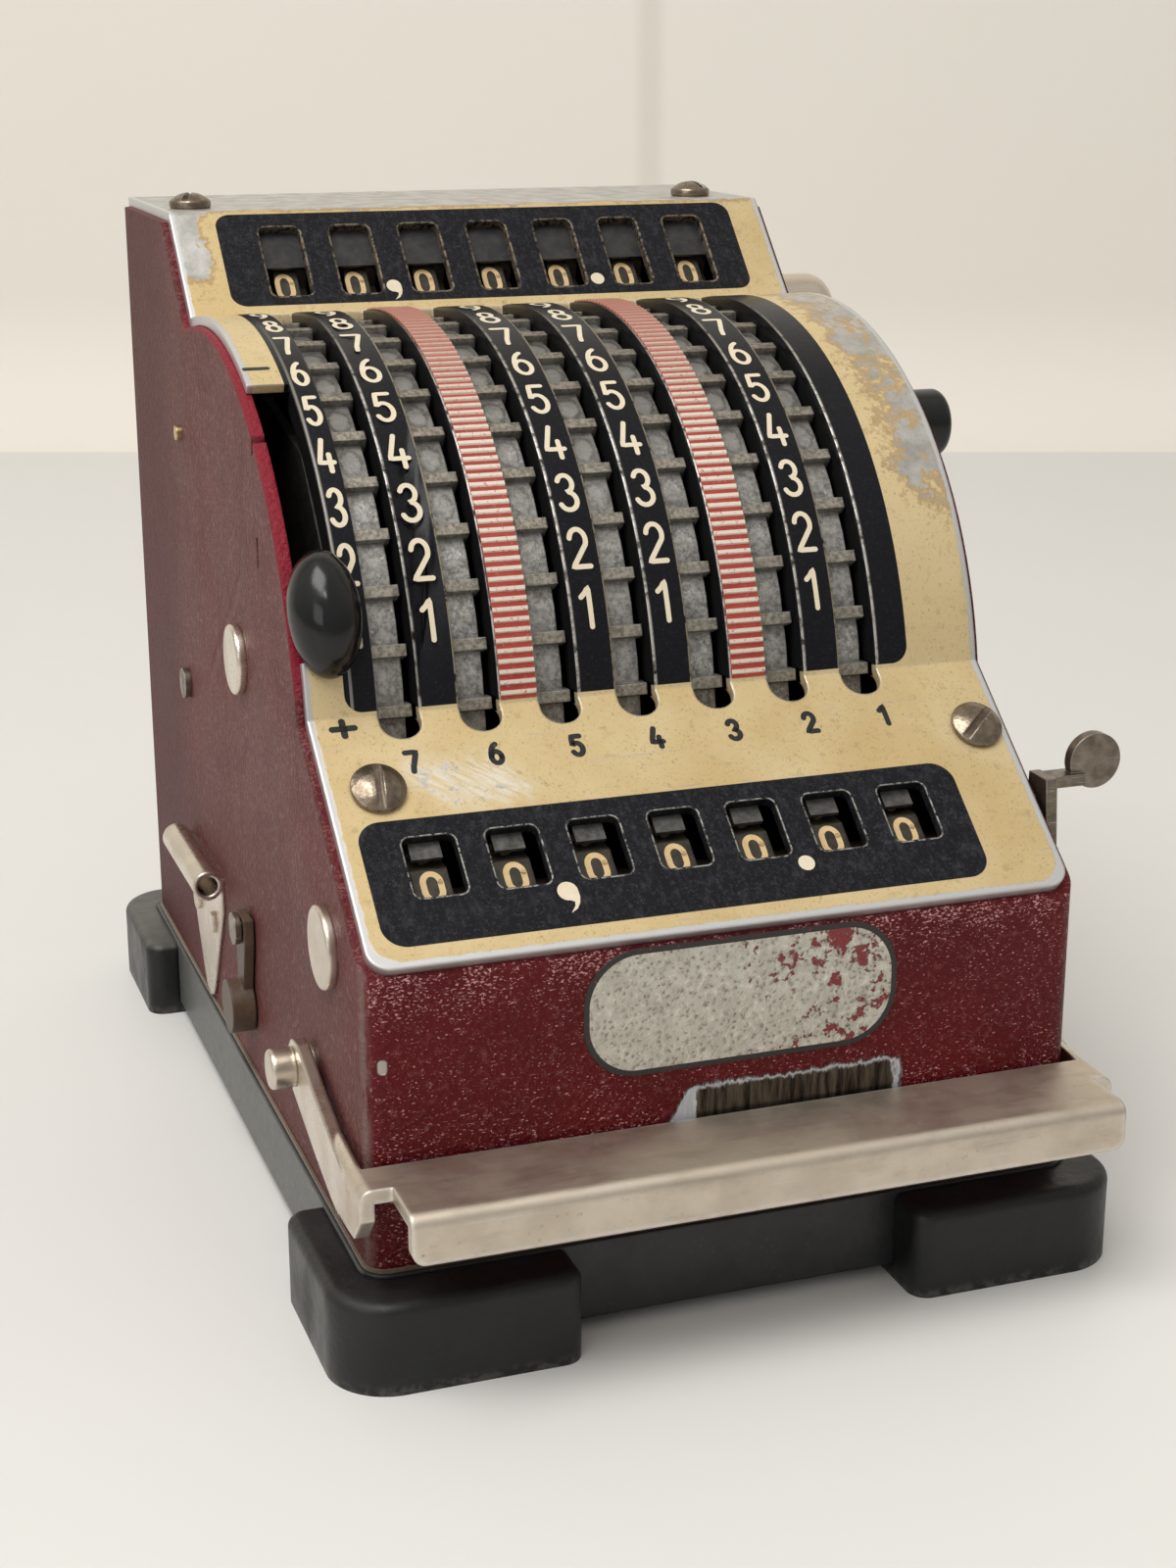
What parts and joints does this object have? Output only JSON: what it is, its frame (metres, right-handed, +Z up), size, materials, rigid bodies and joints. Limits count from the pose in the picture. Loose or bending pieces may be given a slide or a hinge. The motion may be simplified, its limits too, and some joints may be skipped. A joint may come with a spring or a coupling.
{
  "type": "stylus-operated adding machine",
  "caption": "Desk adding machine with slotted arc cover over toothed setting wheels, two rows of digit drums, sprung front bar, side knobs and levers, on rubber feet.",
  "frame": {"origin": "on the table, under the middle of the machine's outline", "axes": "+Z up, the front with the bar faces -Y, +X to the right seen from the front"},
  "size_m": [0.1284, 0.1862, 0.1502],
  "materials": {
    "maroon_paint": "wrinkle",
    "lacquered_aluminium": "satin",
    "die_cast_grey": "matte",
    "drum_black": "satin",
    "steel": "satin",
    "nickel": "satin",
    "black_gloss": "gloss",
    "brown_plastic": "matte",
    "rubber_black": "matte",
    "base_black": "satin",
    "gasket_brown": "matte",
    "brass_pin": "satin"
  },
  "bodies": {
    "wheel_1": {"setting_wheel_1": "die_cast_grey"},
    "wheel_2": {"setting_wheel_2": "die_cast_grey"},
    "wheel_3": {"setting_wheel_3": "die_cast_grey"},
    "wheel_4": {"setting_wheel_4": "die_cast_grey"},
    "wheel_5": {"setting_wheel_5": "die_cast_grey"},
    "wheel_6": {"setting_wheel_6": "die_cast_grey"},
    "wheel_7": {"setting_wheel_7": "die_cast_grey"},
    "control_1": {"control_drum_1": "drum_black"},
    "control_2": {"control_drum_2": "drum_black"},
    "control_3": {"control_drum_3": "drum_black"},
    "control_4": {"control_drum_4": "drum_black"},
    "control_5": {"control_drum_5": "drum_black"},
    "control_6": {"control_drum_6": "drum_black"},
    "control_7": {"control_drum_7": "drum_black"},
    "result_1": {"result_drum_1": "drum_black"},
    "result_2": {"result_drum_2": "drum_black"},
    "result_3": {"result_drum_3": "drum_black"},
    "result_4": {"result_drum_4": "drum_black"},
    "result_5": {"result_drum_5": "drum_black"},
    "result_6": {"result_drum_6": "drum_black"},
    "result_7": {"result_drum_7": "drum_black"},
    "selector": {"selector_arm": "steel", "selector_knob": "black_gloss"},
    "bar": {"clear_bar": "nickel"},
    "lever": {"right_lever": "nickel"},
    "tab": {"left_tab": "brown_plastic"},
    "side_knob": {"right_knob": "black_gloss"},
    "clearing_knob": {"bell_knob": "nickel"},
    "case": {"bar_pivot_pins": "nickel", "bar_spacers": "steel", "base": "base_black", "base_gasket": "gasket_brown", "clip_rivets": "steel", "control_shaft": "steel", "cover_plate": "lacquered_aluminium", "cover_screws_front": "steel", "cover_screws_top": "steel", "detent_comb": "steel", "foot_front_left": "rubber_black", "foot_front_right": "rubber_black", "foot_rear_left": "rubber_black", "foot_rear_right": "rubber_black", "foot_screws": "steel", "frame_tie_rods": "steel", "guide_pin": "brass_pin", "housing": "maroon_paint", "left_tab_pivot": "steel", "main_shaft": "steel", "result_shaft": "steel", "right_lever_pivot": "steel", "side_frame_left": "steel", "side_frame_right": "steel", "side_screw": "steel", "stylus_clip": "nickel", "wall_stud": "steel", "window_mask": "base_black"}
  },
  "joints": [
    {"name": "setting_wheel_1_turn", "type": "hinge", "parent": "case", "child": "wheel_1", "pos_m": [0, 0.01575, 0.0728], "axis": [1, 0, 0], "range_deg": [0, 75.6]},
    {"name": "setting_wheel_2_turn", "type": "hinge", "parent": "case", "child": "wheel_2", "pos_m": [0, 0.01575, 0.0728], "axis": [1, 0, 0], "range_deg": [0, 75.6]},
    {"name": "setting_wheel_3_turn", "type": "hinge", "parent": "case", "child": "wheel_3", "pos_m": [0, 0.01575, 0.0728], "axis": [1, 0, 0], "range_deg": [0, 75.6]},
    {"name": "setting_wheel_4_turn", "type": "hinge", "parent": "case", "child": "wheel_4", "pos_m": [0, 0.01575, 0.0728], "axis": [1, 0, 0], "range_deg": [0, 75.6]},
    {"name": "setting_wheel_5_turn", "type": "hinge", "parent": "case", "child": "wheel_5", "pos_m": [0, 0.01575, 0.0728], "axis": [1, 0, 0], "range_deg": [0, 75.6]},
    {"name": "setting_wheel_6_turn", "type": "hinge", "parent": "case", "child": "wheel_6", "pos_m": [0, 0.01575, 0.0728], "axis": [1, 0, 0], "range_deg": [0, 75.6]},
    {"name": "setting_wheel_7_turn", "type": "hinge", "parent": "case", "child": "wheel_7", "pos_m": [0, 0.01575, 0.0728], "axis": [1, 0, 0], "range_deg": [0, 75.6]},
    {"name": "control_drum_1_turn", "type": "hinge", "parent": "case", "child": "control_1", "pos_m": [0, 0.0462, 0.12712], "axis": [1, 0, 0], "range_deg": [-324, 0]},
    {"name": "control_drum_2_turn", "type": "hinge", "parent": "case", "child": "control_2", "pos_m": [0, 0.0462, 0.12712], "axis": [1, 0, 0], "range_deg": [-324, 0]},
    {"name": "control_drum_3_turn", "type": "hinge", "parent": "case", "child": "control_3", "pos_m": [0, 0.0462, 0.12712], "axis": [1, 0, 0], "range_deg": [-324, 0]},
    {"name": "control_drum_4_turn", "type": "hinge", "parent": "case", "child": "control_4", "pos_m": [0, 0.0462, 0.12712], "axis": [1, 0, 0], "range_deg": [-324, 0]},
    {"name": "control_drum_5_turn", "type": "hinge", "parent": "case", "child": "control_5", "pos_m": [0, 0.0462, 0.12712], "axis": [1, 0, 0], "range_deg": [-324, 0]},
    {"name": "control_drum_6_turn", "type": "hinge", "parent": "case", "child": "control_6", "pos_m": [0, 0.0462, 0.12712], "axis": [1, 0, 0], "range_deg": [-324, 0]},
    {"name": "control_drum_7_turn", "type": "hinge", "parent": "case", "child": "control_7", "pos_m": [0, 0.0462, 0.12712], "axis": [1, 0, 0], "range_deg": [-324, 0]},
    {"name": "result_drum_1_turn", "type": "hinge", "parent": "case", "child": "result_1", "pos_m": [0, -0.05738, 0.05545], "axis": [1, 0, 0], "continuous": true},
    {"name": "result_drum_2_turn", "type": "hinge", "parent": "case", "child": "result_2", "pos_m": [0, -0.05738, 0.05545], "axis": [1, 0, 0], "continuous": true},
    {"name": "result_drum_3_turn", "type": "hinge", "parent": "case", "child": "result_3", "pos_m": [0, -0.05738, 0.05545], "axis": [1, 0, 0], "continuous": true},
    {"name": "result_drum_4_turn", "type": "hinge", "parent": "case", "child": "result_4", "pos_m": [0, -0.05738, 0.05545], "axis": [1, 0, 0], "continuous": true},
    {"name": "result_drum_5_turn", "type": "hinge", "parent": "case", "child": "result_5", "pos_m": [0, -0.05738, 0.05545], "axis": [1, 0, 0], "continuous": true},
    {"name": "result_drum_6_turn", "type": "hinge", "parent": "case", "child": "result_6", "pos_m": [0, -0.05738, 0.05545], "axis": [1, 0, 0], "continuous": true},
    {"name": "result_drum_7_turn", "type": "hinge", "parent": "case", "child": "result_7", "pos_m": [0, -0.05738, 0.05545], "axis": [1, 0, 0], "continuous": true},
    {"name": "selector_swing", "type": "hinge", "parent": "case", "child": "selector", "pos_m": [0, 0.01575, 0.0728], "axis": [-1, 0, 0], "range_deg": [0, 34]},
    {"name": "front_bar_press", "type": "hinge", "parent": "case", "child": "bar", "pos_m": [0, -0.0457, 0.033], "axis": [1, 0, 0], "range_deg": [0, 5], "stiffness_Nm_per_rad": 0.5, "springref_deg": -5.73},
    {"name": "right_lever_swing", "type": "hinge", "parent": "case", "child": "lever", "pos_m": [0, -0.0619, 0.047], "axis": [1, 0, 0], "range_deg": [-20, 0]},
    {"name": "left_tab_swing", "type": "hinge", "parent": "case", "child": "tab", "pos_m": [0, -0.0049, 0.04], "axis": [1, 0, 0], "range_deg": [0, 15]},
    {"name": "right_knob_turn", "type": "hinge", "parent": "case", "child": "side_knob", "pos_m": [0, -0.0124, 0.1157], "axis": [1, 0, 0], "range_deg": [0, 90]},
    {"name": "clearing_knob_turn", "type": "hinge", "parent": "case", "child": "clearing_knob", "pos_m": [0, 0.0462, 0.12712], "axis": [1, 0, 0], "continuous": true}
  ],
  "couplings": [
    {"joint": "control_drum_1_turn", "follows": "setting_wheel_1_turn", "ratio": -4.2857},
    {"joint": "control_drum_2_turn", "follows": "setting_wheel_2_turn", "ratio": -4.2857},
    {"joint": "control_drum_3_turn", "follows": "setting_wheel_3_turn", "ratio": -4.2857},
    {"joint": "control_drum_4_turn", "follows": "setting_wheel_4_turn", "ratio": -4.2857},
    {"joint": "control_drum_5_turn", "follows": "setting_wheel_5_turn", "ratio": -4.2857},
    {"joint": "control_drum_6_turn", "follows": "setting_wheel_6_turn", "ratio": -4.2857},
    {"joint": "control_drum_7_turn", "follows": "setting_wheel_7_turn", "ratio": -4.2857}
  ]
}
